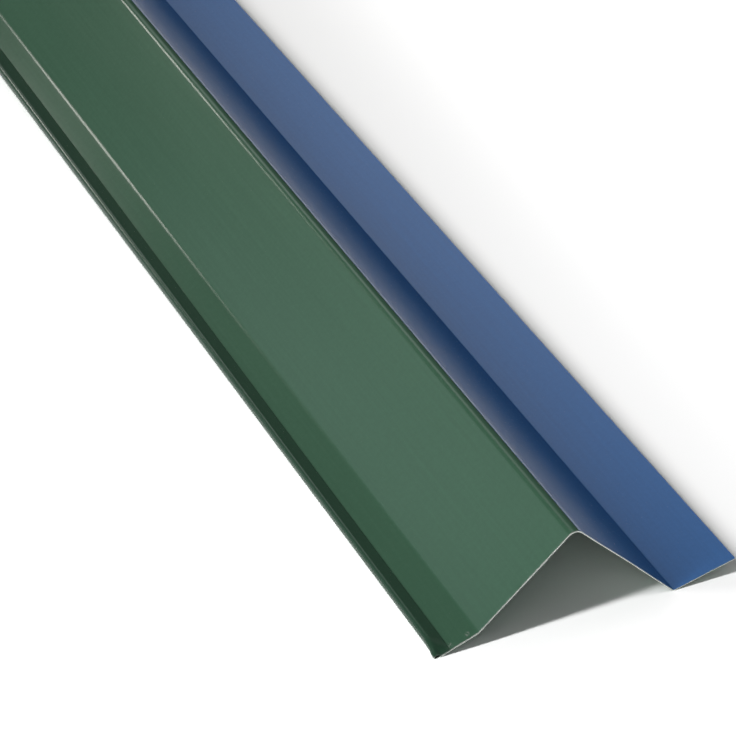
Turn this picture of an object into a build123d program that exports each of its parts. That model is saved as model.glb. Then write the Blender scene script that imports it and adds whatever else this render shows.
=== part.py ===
"""Eaves flashing: one strip of painted steel, folded along its whole length.

The section, from the drip edge to the roof: a hem rolled up and back over the
lip, a drip lip, a face that rises to a crest, a back that falls from it, and a
flat flange. The upper side is drawn first, from the hem's loose edge, and the
sheet's thickness lies under it, which is outside the hem's roll. The flashing
lies on its hem and on the fold between the back and the flange.
"""
import os
from math import cos, radians, sin, tan

from build123d import *

# Driving dimensions, in millimetres and degrees above the level floor
length = 2000.0
sheet = 0.5

hem_return = 5.7
hem_fall = 14.0

lip_width = 21.43
lip_slope = 20.7

face_width = 68.8
face_slope = 42.8

back_slope = 44.5

flange_width = 35.0
flange_slope = 15.0

# Bend radii, on the upper side
hem_radius = 1.9
drip_bend_radius = 7.0
crest_radius = 5.3
valley_radius = 0.8


def along(start, distance, slope):
    """The point at a distance from start, up a slope."""
    return start + Vector(distance * cos(radians(slope)), distance * sin(radians(slope)))


# The hem is a roll that lies on the floor. Its return falls back towards the lip
roll_center = Vector(0, hem_radius + sheet)
return_start = along(roll_center, hem_radius, 90 - hem_fall)
return_edge = along(return_start, hem_return, -hem_fall)
lip_start = along(roll_center, hem_radius, lip_slope - 90)

# The upper side's corners, before their bends are rounded
drip_bend = along(lip_start, lip_width, lip_slope)
crest = along(drip_bend, face_width, face_slope)

# The back comes down until the rounded underside of its fold meets the floor
back_angle = radians(back_slope)
flange_angle = radians(flange_slope)
valley_rise = (sin(back_angle) + sin(flange_angle)) / sin(back_angle + flange_angle)
valley_level = sheet + valley_radius * (1 - valley_rise)
valley = Vector(crest.X + (crest.Y - valley_level) / tan(back_angle), valley_level)
flange_edge = along(valley, flange_width, flange_slope)

# The section is centred across its width
left_side = roll_center.X - hem_radius - sheet
right_side = flange_edge.X + sheet * sin(flange_angle)
to_center = Vector(-(left_side + right_side) / 2, 0)

with BuildPart() as flashing:
    with BuildSketch(Plane.XZ) as section:
        with BuildLine() as hem:
            Line(return_edge + to_center, return_start + to_center)
            CenterArc(roll_center + to_center, hem_radius, 90 - hem_fall, 180 + hem_fall + lip_slope)
            offset(amount=sheet, side=Side.RIGHT)
        make_face()
        with BuildLine() as folds:
            FilletPolyline(
                lip_start + to_center,
                drip_bend + to_center,
                crest + to_center,
                valley + to_center,
                flange_edge + to_center,
                radius=[drip_bend_radius, crest_radius, valley_radius],
            )
            offset(amount=sheet, side=Side.RIGHT)
        make_face()
    extrude(amount=length / 2, both=True)
flashing.part.label = "flashing_sheet"

os.makedirs("parts", exist_ok=True)
export_step(flashing.part, "parts/flashing_sheet.step")
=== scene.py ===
# %% [markdown]
# # An eaves flashing, dressed in Blender
# An eaves flashing is a long strip of pre-painted steel, folded on a press brake, that covers the
# edge of a roof. The CAD frame already holds the folded strip at its real size. This lesson draws the
# same strip again with a finer skin that can buckle and dent, gives it its coats of paint, and lights
# it as in a small studio.

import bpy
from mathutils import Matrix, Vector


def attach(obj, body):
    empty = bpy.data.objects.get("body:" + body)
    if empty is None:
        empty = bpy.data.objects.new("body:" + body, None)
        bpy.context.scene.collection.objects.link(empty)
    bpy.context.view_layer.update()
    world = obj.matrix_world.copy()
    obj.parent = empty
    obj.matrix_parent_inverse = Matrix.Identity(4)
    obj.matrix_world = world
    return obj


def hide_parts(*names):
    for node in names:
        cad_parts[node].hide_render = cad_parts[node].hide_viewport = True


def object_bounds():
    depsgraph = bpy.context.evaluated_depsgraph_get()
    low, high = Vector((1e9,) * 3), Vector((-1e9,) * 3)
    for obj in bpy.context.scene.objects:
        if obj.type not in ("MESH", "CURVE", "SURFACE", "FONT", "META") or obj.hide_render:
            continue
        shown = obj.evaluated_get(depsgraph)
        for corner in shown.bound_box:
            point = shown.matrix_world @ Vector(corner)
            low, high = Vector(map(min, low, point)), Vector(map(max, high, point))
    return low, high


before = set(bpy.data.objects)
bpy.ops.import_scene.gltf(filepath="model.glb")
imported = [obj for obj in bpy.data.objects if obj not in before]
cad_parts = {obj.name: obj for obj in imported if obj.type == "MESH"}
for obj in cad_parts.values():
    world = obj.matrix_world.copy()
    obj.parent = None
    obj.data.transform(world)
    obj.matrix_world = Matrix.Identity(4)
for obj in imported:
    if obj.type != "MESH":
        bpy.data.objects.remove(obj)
cad_low, cad_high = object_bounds()
print("CAD box", [round(v, 4) for v in cad_low], [round(v, 4) for v in cad_high])

# %% Tools that the lesson uses
from math import cos, pi, radians, sin, tan

import bmesh
import bpy
from mathutils import Vector, noise

scene = bpy.context.scene
scene.view_settings.view_transform = "Standard"
print("view transform", scene.view_settings.view_transform)

# %% [markdown]
# ## The camera
# The picture is taken with a long lens from the left of the near end, looking down. A long lens keeps
# the long folds almost parallel. The camera could be placed by eye, but its angles are known, so it
# is set back from the point that the middle of the picture shows, along the line of sight.

# %% Place the camera
picture_px = 736
focal_px = 3472
view_azimuth = radians(-24.37)
view_elevation = radians(33.90)
near_end = cad_low[1]
sight_point = Vector((-0.11564, near_end + 0.0008, 0.17567))
sight_distance = 1.5397

toward_camera = Vector((
    sin(view_azimuth) * cos(view_elevation),
    -cos(view_azimuth) * cos(view_elevation),
    sin(view_elevation),
))
camera = bpy.data.objects.new("camera", bpy.data.cameras.new("camera"))
camera.data.lens = camera.data.sensor_width * focal_px / picture_px
camera.location = sight_point + toward_camera * sight_distance
camera.rotation_euler = (-toward_camera).to_track_quat("-Z", "Y").to_euler()
scene.collection.objects.link(camera)
scene.camera = camera
print("lens", round(camera.data.lens, 1), "mm, camera at", [round(v, 3) for v in camera.location])

# %% [markdown]
# ## The folded strip
# A press brake folds a flat strip one bend at a time, and the section can be drawn the same way. A
# single point starts at the hem's loose edge. For each flat it is extruded along a straight line, and
# for each bend it is spun about the bend's centre. A bevel on a sharp section could round the bends
# too, but spinning gives each bend its own true radius. The sizes are those of the CAD strip, in
# metres.

# %% Sizes of the flats and bends
sheet = 0.0005
hem_return = 0.0057
lip_width = 0.02143
face_width = 0.0688
flange_width = 0.035

hem_fall = radians(14.0)
lip_slope = radians(20.7)
face_slope = radians(42.8)
back_slope = radians(-44.5)
flange_slope = radians(15.0)

hem_radius = 0.0019
drip_radius = 0.007
crest_radius = 0.0053
valley_radius = 0.0008


def slope_vector(slope):
    """One metre along a slope of the section."""
    return Vector((cos(slope), 0, sin(slope)))


# The hem's roll touches the left side of the box and the floor, and the flange ends at the right side
roll_radius = hem_radius + sheet
roll_center = Vector((cad_low[0] + roll_radius, near_end, cad_low[2] + roll_radius))
return_start = roll_center + slope_vector(pi / 2 - hem_fall) * hem_radius
return_edge = return_start + slope_vector(-hem_fall) * hem_return
lip_start = roll_center + slope_vector(lip_slope - pi / 2) * hem_radius
drip_corner = lip_start + slope_vector(lip_slope) * lip_width
crest_corner = drip_corner + slope_vector(face_slope) * face_width
flange_run = flange_width * cos(flange_slope) + sheet * sin(flange_slope)
back_width = (cad_high[0] - flange_run - crest_corner.x) / cos(back_slope)
valley_corner = crest_corner + slope_vector(back_slope) * back_width
print("back", round(back_width * 1000, 1), "mm wide, crest corner at", [round(v, 4) for v in crest_corner])

# %% Drawing a flat and a bend with one point
strip = bmesh.new()
give = strip.verts.layers.float.new("give")


def draw_flat(point, distance, heading, steps, slack=0.0):
    """Extrude the point along a straight flat. Slack is how far the middle of the flat can buckle."""
    for step in range(1, steps + 1):
        point = bmesh.ops.extrude_vert_indiv(strip, verts=[point])["verts"][0]
        bmesh.ops.translate(strip, verts=[point], vec=slope_vector(heading) * (distance / steps))
        point[give] = slack * sin(pi * step / steps) ** 2
    return point


def draw_bend(point, heading, turn, radius, steps):
    """Spin the point about the centre of a bend, which lies on the side that the strip turns to."""
    side = 1 if turn > 0 else -1
    center = point.co + slope_vector(heading + side * pi / 2) * radius
    spun = bmesh.ops.spin(
        strip, geom=[point], cent=center, axis=(0, -1, 0), angle=turn, steps=steps, use_merge=False
    )
    point = [part for part in spun["geom_last"] if isinstance(part, bmesh.types.BMVert)][0]
    point[give] = 0.0
    return point


def tangent(turn, radius):
    """How much of a flat a bend takes up, measured from the sharp corner."""
    return radius * tan(abs(turn) / 2)


# %% Draw the section
# Each row: the flat's width, slope, points and buckling, then the radius and points of the bend after it
flats = [
    (lip_width, lip_slope, 8, 0.0, drip_radius, 8),
    (face_width, face_slope, 56, 0.00030, crest_radius, 26),
    (back_width, back_slope, 20, 0.00035, valley_radius, 8),
    (flange_width, flange_slope, 10, 0.00025, None, 0),
]
point = strip.verts.new(return_edge)
point = draw_flat(point, hem_return, pi - hem_fall, 6)
point = draw_bend(point, pi - hem_fall, pi + hem_fall + lip_slope, hem_radius, 28)
taken = 0.0
for index, (width, slope, steps, slack, radius, bend_steps) in enumerate(flats):
    turn = flats[index + 1][1] - slope if radius else 0.0
    given = tangent(turn, radius) if radius else 0.0
    point = draw_flat(point, width - taken - given, slope, steps, slack)
    if radius:
        point = draw_bend(point, slope, turn, radius, bend_steps)
    taken = given
print("section of", len(strip.verts), "points, flange edge at", [round(v, 4) for v in point.co])

# %% [markdown]
# The section is pulled along the length by extruding its edges. The steps are short at both cut ends,
# where the shears left small dents, and longer in between, where the sheet only needs to follow slow
# waves.

# %% Pull the section along its length
length = cad_high[1] - cad_low[1]
end_steps = [0.0003, 0.0003, 0.0004, 0.0007, 0.0013, 0.003, 0.006]
middle_steps = 100
middle_step = (length - 2 * sum(end_steps)) / middle_steps
leading = list(strip.edges)
for step in end_steps + [middle_step] * middle_steps + end_steps[::-1]:
    pulled = bmesh.ops.extrude_edge_only(strip, edges=leading)["geom"]
    moved = [part for part in pulled if isinstance(part, bmesh.types.BMVert)]
    front = set(moved)
    leading = [
        part for part in pulled
        if isinstance(part, bmesh.types.BMEdge) and part.verts[0] in front and part.verts[1] in front
    ]
    bmesh.ops.translate(strip, verts=moved, vec=(0, step, 0))

strip.normal_update()
if sum(face.normal.z * face.calc_area() for face in strip.faces) < 0:
    bmesh.ops.reverse_faces(strip, faces=strip.faces[:])
    strip.normal_update()
print("skin of", len(strip.faces), "faces")

# %% [markdown]
# Thin sheet is never quite flat between its folds: it buckles a little, which makes reflections swim.
# The folds stay straight, so each point moves along its normal only as far as the slack that its flat
# was given.

# %% Let the flats buckle
wave_length = Vector((0.060, 0.34, 0.060))
moves = {}
for vert in strip.verts:
    place = Vector(vert.co[part] / wave_length[part] for part in range(3))
    moves[vert] = vert.normal * (vert[give] * noise.noise(place))
for vert, move in moves.items():
    vert.co += move
print("largest buckle", round(max(move.length for move in moves.values()) * 1000, 3), "mm")

# %% [markdown]
# Guillotine shears leave a cut end that isn't quite clean. Three small dents on the face's cut edge
# show it best. Each is a pull on the points near it, inwards and a little down, which fades over its
# width.

# %% Dent the near cut edge
dent_width = 0.0016
dent_depth = 0.0005
dent_drop = 0.0002
# Each dent: its place up the face, from 0 to 1, and its strength
dents = [(0.43, 1.0), (0.73, 0.8), (0.17, 0.5)]
for share, strength in dents:
    middle = drip_corner.lerp(crest_corner, share)
    for vert in strip.verts:
        fade = 1 - (vert.co - middle).length / dent_width
        if fade > 0:
            vert.co += Vector((0, dent_depth, -dent_drop)) * (strength * fade)
print("dents", len(dents))

# %% [markdown]
# The hem is rolled along the edge last, and it is a little more open away from the ends. Where the
# shears came down on it, they pinched the roll almost shut, pressed its loose edge onto the lip and
# spread the roll outwards.

# %% Open the hem along the length and pinch its cut ends
half_length = length / 2
hem_zone = 0.008
opening = 0.25
opening_reach = 0.6
pinch_at_roll = 0.58
pinch_at_edge = 0.93
pinch_lead = 0.5
pinch_spread = 0.0009
pinch_reach = 0.008
lip_along = slope_vector(lip_slope)
lip_up = slope_vector(lip_slope + pi / 2)
on_the_lip = 0.000001


def ease(share):
    """A soft step from 0 to 1."""
    share = min(max(share, 0.0), 1.0)
    return share * share * (3 - 2 * share)


rolled = 0
for vert in strip.verts:
    along = (vert.co - lip_start).dot(lip_along)
    above = (vert.co - lip_start).dot(lip_up)
    if along < hem_zone:
        from_end = half_length - abs(vert.co.y)
        on_hem = 1.0 if above > on_the_lip else 1 - ease(along / hem_zone)
        wider = opening * ease(from_end / opening_reach) * on_hem
        shut = on_hem * ease(1 - from_end / pinch_reach)
        outward = min(max(-along / hem_radius, 0.0), 1.0)
        vert.co += Vector((vert.co.x - cad_low[0], 0, vert.co.z - cad_low[2])) * wider
        pinch = pinch_at_roll + (pinch_at_edge - pinch_at_roll) * ease(along / hem_radius + pinch_lead)
        vert.co -= lip_up * (max(above, 0.0) * pinch * shut)
        vert.co.x -= pinch_spread * outward * shut
        rolled += 1
print("hem and lip points moved:", rolled)

# %% [markdown]
# The coil was painted in two tones, and the border between them lies just past the top of the crest.
# Each face of the skin takes the tone of its side. A Solidify modifier then gives the skin its sheet
# thickness downwards, with its own finishes for the under side and for the cut edges.

# %% Make the mesh, with a blue side and a green side
green, blue = 0, 1
tone_slope = radians(24)
crest_turn = face_slope - back_slope
crest_up = slope_vector((face_slope + back_slope) / 2 + pi / 2)
crest_center = crest_corner - crest_up * (crest_radius / cos(crest_turn / 2))
tone_line = crest_center.x + crest_radius * sin(tone_slope)
for face in strip.faces:
    face.material_index = blue if face.calc_center_median().x > tone_line else green
    face.smooth = True
for edge in strip.edges:
    edge.smooth = not edge.is_boundary
skin = bpy.data.meshes.new("flashing_sheet_painted")
strip.to_mesh(skin)
strip.free()
flashing = bpy.data.objects.new("flashing_sheet_painted", skin)
scene.collection.objects.link(flashing)

wall = flashing.modifiers.new("sheet thickness", "SOLIDIFY")
wall.thickness = sheet
wall.offset = -1.0
wall.use_even_offset = True
wall.material_offset = 2
wall.material_offset_rim = 4
print("painted skin", len(skin.polygons), "faces")

# %% [markdown]
# ## Finishes
# Every finish is a node material. Its arithmetic is written as Python expressions: a small class
# stands for one socket, and adding or multiplying two of them adds the Math node that does it.

# %% One class for shader arithmetic
class Signal:
    """One output socket, with Python's operators for Math nodes."""

    def __init__(self, tree, socket):
        self.tree = tree
        self.socket = socket

    def node(self, kind, settings=None, inputs=None, output=0):
        """Add a node: its settings first, then the values or links of its sockets."""
        made = self.tree.nodes.new(kind)
        for name, setting in (settings or {}).items():
            setattr(made, name, setting)
        for name, value in (inputs or {}).items():
            if isinstance(value, Signal):
                self.tree.links.new(value.socket, made.inputs[name])
            else:
                made.inputs[name].default_value = value
        return Signal(self.tree, made.outputs[output])

    def math(self, operation, first, second):
        """A Math node of two values."""
        return self.node("ShaderNodeMath", {"operation": operation}, {0: first, 1: second})

    def __add__(self, other):
        return self.math("ADD", self, other)

    __radd__ = __add__

    def __sub__(self, other):
        return self.math("SUBTRACT", self, other)

    def __rsub__(self, other):
        return self.math("SUBTRACT", other, self)

    def __mul__(self, other):
        return self.math("MULTIPLY", self, other)

    __rmul__ = __mul__

    def smooth(self, low, high):
        """0 below low, 1 above high, and a soft step between."""
        settings = {"interpolation_type": "SMOOTHSTEP"}
        return self.node("ShaderNodeMapRange", settings, {"Value": self, "From Min": low, "From Max": high})

    def speckle(self, scale, detail=2.0, stretch=(1, 1, 1)):
        """Soft noise on this vector, from 0 to 1."""
        place = self.node("ShaderNodeVectorMath", {"operation": "MULTIPLY"}, {0: self, 1: stretch})
        return place.node("ShaderNodeTexNoise", None, {"Vector": place, "Scale": scale, "Detail": detail})

    def tint(self, low, high):
        """A colour between two, mixed by this value."""
        inputs = {"Factor": self, "A": low, "B": high}
        return self.node("ShaderNodeMix", {"data_type": "RGBA"}, inputs, output=2)


def start_finish(name, **constants):
    """A new material, its shader with constant sockets set, and its Object coordinates."""
    material = bpy.data.materials.new(name)
    material.use_nodes = True
    tree = material.node_tree
    shader = tree.nodes["Principled BSDF"]
    for socket, value in constants.items():
        shader.inputs[socket.replace("_", " ")].default_value = value
    place = Signal(tree, tree.nodes.new("ShaderNodeTexCoord").outputs["Object"])
    return material, shader, place


def feed(shader, **signals):
    """Link signals to the shader's sockets."""
    for socket, signal in signals.items():
        signal.tree.links.new(signal.socket, shader.inputs[socket.replace("_", " ")])


def rgb(red, green_part, blue_part):
    """A colour given from 0 to 255, as a linear colour for a socket."""
    parts = [value / 255 for value in (red, green_part, blue_part)]
    linear = [part / 12.92 if part <= 0.04045 else ((part + 0.055) / 1.055) ** 2.4 for part in parts]
    return (*linear, 1.0)


print("shader tools ready")

# %% [markdown]
# ## Painted coats
# The strip comes from a coil that is painted before it is folded. Such paint is smooth and half
# glossy, with a faint orange-peel texture, fine streaks along the rolling direction and a few specks
# of dust. The upper side is green up to the crest and blue beyond it. The under side is green too and
# shows on the rolled hem; its tone is darker than the upper green as painted shade for the band along
# the hem. One function makes all three coats, since only their tone, gloss and chips differ. Along
# the cut ends the shears chipped the paint back to the zinc.

# %% The three coats of paint
bare_zinc = rgb(172, 178, 172)
dust = rgb(150, 160, 150)
# Each scuff: its place across the lip, its distance from the cut end and its reach
scuffs = [(0.79, 0.0035, 0.0022), (0.33, 0.0030, 0.0026)]
scuff_strength = 0.6
# Widths of the chipped strips at the cut ends, in metres
lip_chip_width = 0.0005
back_chip_width = 0.00015
hem_chip_width = 0.0015


def axis(place, name):
    """One part of the Object coordinates, in metres."""
    return place.node("ShaderNodeSeparateXYZ", None, {0: place}, output="XYZ".index(name))


def measured(place, direction, start):
    """How far the surface lies from a start point in one direction."""
    inputs = {0: place, 1: direction}
    reach = place.node("ShaderNodeVectorMath", {"operation": "DOT_PRODUCT"}, inputs, output=1)
    return reach - start.dot(direction)


def chipped_strip(place, width):
    """1 on the strip beside a cut end where the paint has come off, with a ragged border."""
    from_end = half_length - place.math("ABSOLUTE", axis(place, "Y"), 0.0)
    ragged = (place.speckle(900, 3.0) - 0.5) * (width * 2.4)
    return 1 - (from_end + ragged).smooth(width * 0.7, width * 1.3)


def shaded(tone, factor):
    """A tone made darker or lighter."""
    return (*(part * factor for part in tone[:3]), 1.0)


def paint_coat(name, tone, chips, mean_roughness):
    """A painted coat: its tone drifts a little, with streaks, orange peel, dust and chipped ends."""
    material, shader, place = start_finish(name, IOR=1.5)
    drift = place.speckle(9, 2.0, (1, 0.25, 1))
    streaks = place.speckle(700, 3.0, (1, 0.012, 1))
    mottle = place.speckle(420, 4.0)
    cloud = (drift * 0.5 + streaks * 0.25 + mottle * 0.25).smooth(0.3, 0.7)
    body = cloud.tint(shaded(tone, 0.92), shaded(tone, 1.08))
    specks = place.speckle(1500, 1.0).smooth(0.75, 0.78) * 0.15
    bare = chips(place)
    color = bare.tint(specks.tint(body, dust), bare_zinc)
    roughness = mean_roughness - 0.03 + streaks * 0.06 + specks * 0.3 + bare * 0.2
    peel = place.speckle(650, 2.0) * 0.7 + mottle * 0.3
    normal = place.node(
        "ShaderNodeBump", None, {"Strength": 0.05, "Distance": 0.0002, "Height": peel - bare * 0.5}
    )
    feed(shader, Base_Color=color, Roughness=roughness, Normal=normal)
    return material


def lip_marks(place):
    """Bare zinc on the green side: the chipped end and two small scuffs on the lip."""
    bare = chipped_strip(place, lip_chip_width)
    for share, inset, reach in scuffs:
        middle = lip_start.lerp(drip_corner, share) + Vector((0, inset, 0))
        apart = place.node(
            "ShaderNodeVectorMath", {"operation": "DISTANCE"}, {0: place, 1: middle}, output=1
        )
        rub = place.speckle(1100, 3.0, (1, 2.5, 1)).smooth(0.45, 0.65)
        bare = bare + (1 - apart.smooth(reach * 0.3, reach)) * rub * scuff_strength
    return bare.smooth(0.0, 1.0)


def back_chips(place):
    """Bare zinc on the blue side: a narrow strip along the back's cut ends, and none on the flange."""
    flange_part = axis(place, "X").smooth(valley_corner.x - 0.004, valley_corner.x)
    return chipped_strip(place, back_chip_width) * (1 - flange_part)


def hem_chips(place):
    """Bare zinc on the under side: only on the outermost part of the hem, where the shears pinched it."""
    inward = measured(place, lip_along, lip_start).smooth(-0.0036, -0.0024)
    return chipped_strip(place, hem_chip_width) * (1 - inward)


moss = rgb(74, 114, 90)
slate = rgb(60, 118, 186)
# The under coat is green, and its darker tone is painted shade for the band along the rolled hem
under_green_darkened_as_painted_shade = rgb(55, 88, 69)
moss_coat = paint_coat("moss_green_coat", moss, lip_marks, mean_roughness=0.22)
slate_coat = paint_coat("slate_blue_coat", slate, back_chips, mean_roughness=0.24)
under_coat = paint_coat("under_coat_with_painted_shade", under_green_darkened_as_painted_shade, hem_chips, mean_roughness=0.24)
print("coats:", moss_coat.name, slate_coat.name, under_coat.name)

# %% [markdown]
# The cut edges show the steel itself with its zinc, scored across the thickness by the shears. On the
# hem's upper layer the shears dragged some paint down over the edge, so it stays green there.

# %% The cut edges
dull_zinc = rgb(165, 172, 165)
bright_zinc = rgb(222, 228, 222)
zinc_metallic = 0.7
# Where the painted edge of the hem's upper layer starts and ends along the lip, and how far above it
drag_start = (-0.0030, -0.0014)
drag_end = (0.0062, 0.0066)
drag_height = (0.00005, 0.0002)


def sheared_edge(paint):
    """Bare zinc and steel on the cut edges, and paint dragged over the edge of the hem's upper layer."""
    material, shader, place = start_finish("sheared_edge")
    scores = place.speckle(1400, 2.0, (1, 0.2, 1))
    zinc = scores.smooth(0.3, 0.7).tint(dull_zinc, bright_zinc)
    along = measured(place, lip_along, lip_start)
    above = measured(place, lip_up, lip_start)
    on_return = along.smooth(*drag_start) * (1 - along.smooth(*drag_end))
    dragged = on_return * above.smooth(*drag_height)
    color = dragged.tint(zinc, paint)
    normal = place.node("ShaderNodeBump", None, {"Strength": 0.3, "Distance": 0.0001, "Height": scores})
    metallic = zinc_metallic * (1 - dragged)
    feed(shader, Base_Color=color, Metallic=metallic, Roughness=0.3 + scores * 0.25, Normal=normal)
    return material


# The paint dragged over the hem's edge takes the under coat's tone, darkened as painted shade
edge_finish = sheared_edge(under_green_darkened_as_painted_shade)
for finish in (moss_coat, slate_coat, under_coat, under_coat, edge_finish, edge_finish):
    flashing.data.materials.append(finish)
print("finishes on the strip:", [finish.name for finish in flashing.data.materials])

# %% [markdown]
# ## Floor and light
# The strip lies on a white studio floor. For rays from the camera and for reflections the floor is
# whiter, so that it reads as paper white. Close to the strip it is kept less white than further out:
# that is painted shade, which deepens the shadows under and beside the strip and darkens the floor
# that the strip reflects.

# %% The white floor
floor_paint = (0.8, 0.8, 0.8, 1)
# The lower white close to the strip is painted shade under and around it
white_with_painted_shade = (2.3, 2.3, 2.3, 1)
white_away = (4.0, 4.0, 4.0, 1)
# How far from the strip's middle the floor starts and stops getting whiter, in metres
left_fade = (0.076, 0.16)
right_fade = (0.09, 0.30)
end_fade = (half_length, half_length + 0.1)


def floor_finish():
    """Matt white, whiter where the camera or a reflection sees it."""
    material = bpy.data.materials.new("white_floor")
    material.use_nodes = True
    tree = material.node_tree
    tree.nodes.remove(tree.nodes["Principled BSDF"])
    path = tree.nodes.new("ShaderNodeLightPath")
    seen = Signal(tree, path.outputs["Is Camera Ray"])
    seen = seen + Signal(tree, path.outputs["Is Glossy Ray"])
    seen = seen + Signal(tree, path.outputs["Is Transmission Ray"])
    place = Signal(tree, tree.nodes.new("ShaderNodeTexCoord").outputs["Object"])
    across = axis(place, "X")
    beside = (0 - across).smooth(*left_fade) + across.smooth(*right_fade)
    beyond = place.math("ABSOLUTE", axis(place, "Y"), 0.0).smooth(*end_fade)
    painted_shade_near_strip = (1 - beside) * (1 - beyond)
    # Less white close to the strip: painted shade that deepens its shadows and the floor it reflects
    white = painted_shade_near_strip.tint(white_away, white_with_painted_shade)
    color = seen.smooth(0.0, 1.0).tint(floor_paint, white)
    matt = seen.node("ShaderNodeBsdfDiffuse", None, {"Color": color})
    tree.links.new(matt.socket, tree.nodes["Material Output"].inputs["Surface"])
    return material


floor_reach = 25.0
floor_mesh = bmesh.new()
bmesh.ops.create_grid(floor_mesh, x_segments=1, y_segments=1, size=floor_reach)
bmesh.ops.translate(floor_mesh, verts=floor_mesh.verts, vec=(0, 0, cad_low[2]))
floor_data = bpy.data.meshes.new("floor")
floor_mesh.to_mesh(floor_data)
floor_mesh.free()
floor_data.materials.append(floor_finish())
floor = bpy.data.objects.new("floor", floor_data)
scene.collection.objects.link(floor)
print("floor", 2 * floor_reach, "m square")

# %% [markdown]
# The room adds soft light. Its far left is bright close to the horizon, and higher up its near left
# and far right walls glow faintly. A darker patch on the far right keeps one reflection off the
# strip.

# %% The room
left_wall_glow = 0.40
right_wall_glow = 0.21
patch_darkness = 0.8

room = bpy.data.worlds.new("room")
room.use_nodes = True
scene.world = room
room_tree = room.node_tree
look = Signal(room_tree, room_tree.nodes.new("ShaderNodeTexCoord").outputs["Generated"])


def toward(azimuth, elevation):
    """A direction from the strip: azimuth from +Y towards +X, and elevation above the horizon."""
    turn, lift = radians(azimuth), radians(elevation)
    return Vector((sin(turn) * cos(lift), cos(turn) * cos(lift), sin(lift)))


def patch(azimuth, elevation, inner, outer):
    """1 around a direction of the room, fading out between two angles from it."""
    nearness = measured(look, toward(azimuth, elevation), Vector())
    return nearness.smooth(cos(radians(outer)), cos(radians(inner)))


height = axis(look, "Z")
right = axis(look, "X").smooth(-0.35, 0.35)
far = axis(look, "Y").smooth(-0.35, 0.35)
above_horizon = height.smooth(sin(radians(3)), sin(radians(12)))
overhead = height.smooth(sin(radians(45)), sin(radians(65)))
horizon = (1 - right) * far
left_wall = (1 - right) * (1 - far) * left_wall_glow
right_wall = right * far * right_wall_glow
walls = (1 - overhead) * (left_wall + right_wall)
glow = horizon * (1 - above_horizon) + walls * above_horizon
glow = glow * (1 - patch(azimuth=32, elevation=22, inner=10, outer=22) * patch_darkness)
room_tree.links.new(glow.socket, room_tree.nodes["Background"].inputs["Color"])
print("room strength", room_tree.nodes["Background"].inputs["Strength"].default_value)

# %% [markdown]
# A narrow softbox stands on the left, in line with the near end. Further along on the same side a
# small warm lamp makes the highlight on the far part of the fold between lip and face. A cool panel
# on the far left is mirrored by the face, and a high panel beyond the far end lights the flange.

# %% The lamps
def softbox(name, place, aim, size, watts, color):
    """A rectangular lamp that faces a point, and that the camera doesn't see."""
    lamp = bpy.data.lights.new(name, "AREA")
    lamp.shape = "RECTANGLE"
    lamp.size, lamp.size_y = size
    lamp.energy = watts
    lamp.color = color
    holder = bpy.data.objects.new(name, lamp)
    holder.location = place
    holder.rotation_euler = (Vector(aim) - Vector(place)).to_track_quat("-Z", "Y").to_euler()
    holder.visible_camera = False
    scene.collection.objects.link(holder)
    return holder


neutral = (1.0, 1.0, 1.0)
warm = (1.0, 0.96, 0.90)
cool = (0.84, 0.96, 1.0)
# Each row: name, place, the point it faces, width and height, watts, colour
lamps = [
    ("strip_softbox", (-1.06, -1.12, 1.06), (0, -1.0, 0.02), (0.08, 1.0), 11.4, neutral),
    ("far_lamp", (-0.355, 0.363, 0.530), (-0.06, -0.33, 0.01), (0.25, 0.13), 0.95, warm),
    ("cool_panel", (-2.45, 2.30, 1.60), (0, -0.7, 0), (1.0, 1.15), 2.75, cool),
    ("high_panel", (0.40, 2.83, 2.9), (0, -0.7, 0), (1.2, 1.4), 6.0, neutral),
]
for row in lamps:
    softbox(*row)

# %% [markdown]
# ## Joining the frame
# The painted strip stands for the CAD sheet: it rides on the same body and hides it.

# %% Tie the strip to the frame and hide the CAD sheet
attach(flashing, "root")
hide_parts("flashing_sheet")
